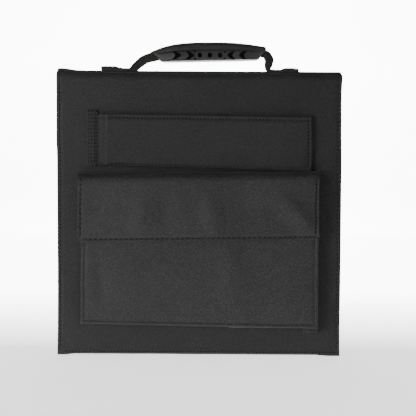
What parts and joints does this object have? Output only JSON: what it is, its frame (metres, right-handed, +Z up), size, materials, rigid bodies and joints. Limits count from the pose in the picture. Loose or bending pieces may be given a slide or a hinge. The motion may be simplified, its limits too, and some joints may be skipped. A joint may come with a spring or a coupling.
{
  "type": "folding solar suitcase kit",
  "caption": "Cloth-covered solar leaves that fold like a fan into a flat square case, with a top handle, a hinged prop and a lidded front pocket.",
  "frame": {"origin": "on the ground under the middle of the folded case's box", "axes": "+Z up, -Y towards the pocket side, +X to the right seen from the pocket side"},
  "size_m": [0.28, 0.043, 0.3112],
  "materials": {
    "cloth": "coated woven polyester, soft satin",
    "pile": "hook-and-loop pile, matt",
    "webbing": "ribbed webbing, matt",
    "board": "pressed glass-fibre board",
    "laminate": "dimpled clear film over a dark backing",
    "cells": "dark blue silicon under film",
    "grip_rubber": "moulded soft rubber, satin",
    "case_plastic": "fine spark texture",
    "circuit": "solder mask",
    "screw_steel": "plated",
    "lamp": "clear lens"
  },
  "bodies": {
    "root": {"front_leaf_sleeve": "cloth", "front_leaf_board": "board", "front_leaf_laminate": "laminate", "front_leaf_cells": "cells", "pocket_body": "cloth", "pocket_loop_strip": "pile", "lid_top_strip": "cloth", "prop_root_band": "cloth", "prop_loop_patch": "pile", "controller_back": "case_plastic", "controller_front": "case_plastic", "controller_circuit": "circuit", "controller_screws": "screw_steel", "controller_gland": "case_plastic", "controller_lamp": "lamp"},
    "top_fold": {"top_fold_strip": "cloth", "handle_anchor_left": "webbing", "handle_anchor_right": "webbing"},
    "second_leaf": {"second_leaf_sleeve": "cloth", "second_leaf_board": "board", "second_leaf_laminate": "laminate", "second_leaf_cells": "cells"},
    "third_leaf": {"third_leaf_sleeve": "cloth", "third_leaf_board": "board", "third_leaf_laminate": "laminate", "third_leaf_cells": "cells", "lower_fold_piping": "cloth", "rear_fold_piping": "cloth"},
    "rear_leaf": {"rear_leaf_sleeve": "cloth", "rear_leaf_board": "board", "rear_leaf_laminate": "laminate", "rear_leaf_cells": "cells"},
    "lid": {"lid_flap": "cloth", "lid_hook_strip": "pile"},
    "prop": {"prop_sleeve": "cloth", "prop_stiffener": "board", "prop_hook_patch": "pile"},
    "handle": {"handle_grip": "grip_rubber", "handle_core": "webbing", "handle_strap_left": "webbing", "handle_strap_right": "webbing"}
  },
  "joints": [
    {"name": "top_fold_turn", "type": "hinge", "parent": "root", "child": "top_fold", "pos_m": [0, 0.001, 0.2805], "axis": [1, 0, 0], "range_deg": [0, 90]},
    {"name": "second_leaf_turn", "type": "hinge", "parent": "top_fold", "child": "second_leaf", "pos_m": [0, 0.007, 0.2805], "axis": [1, 0, 0], "range_deg": [0, 90]},
    {"name": "third_leaf_turn", "type": "hinge", "parent": "second_leaf", "child": "third_leaf", "pos_m": [0, 0.01, 0.0015], "axis": [1, 0, 0], "range_deg": [-180, 0]},
    {"name": "rear_leaf_turn", "type": "hinge", "parent": "third_leaf", "child": "rear_leaf", "pos_m": [0, 0.016, 0.2805], "axis": [1, 0, 0], "range_deg": [0, 180]},
    {"name": "lid_turn", "type": "hinge", "parent": "root", "child": "lid", "pos_m": [0, -0.02045, 0.1795], "axis": [-1, 0, 0], "range_deg": [0, 90]},
    {"name": "prop_turn", "type": "hinge", "parent": "root", "child": "prop", "pos_m": [-0.099, -0.0053, 0.212], "axis": [0, 0, -1], "range_deg": [0, 110]},
    {"name": "handle_turn", "type": "hinge", "parent": "top_fold", "child": "handle", "pos_m": [0, 0.004, 0.284], "axis": [1, 0, 0], "range_deg": [-40, 40]}
  ],
  "couplings": [
    {"joint": "second_leaf_turn", "follows": "top_fold_turn", "ratio": 1},
    {"joint": "third_leaf_turn", "follows": "top_fold_turn", "ratio": -2},
    {"joint": "rear_leaf_turn", "follows": "top_fold_turn", "ratio": 2}
  ]
}
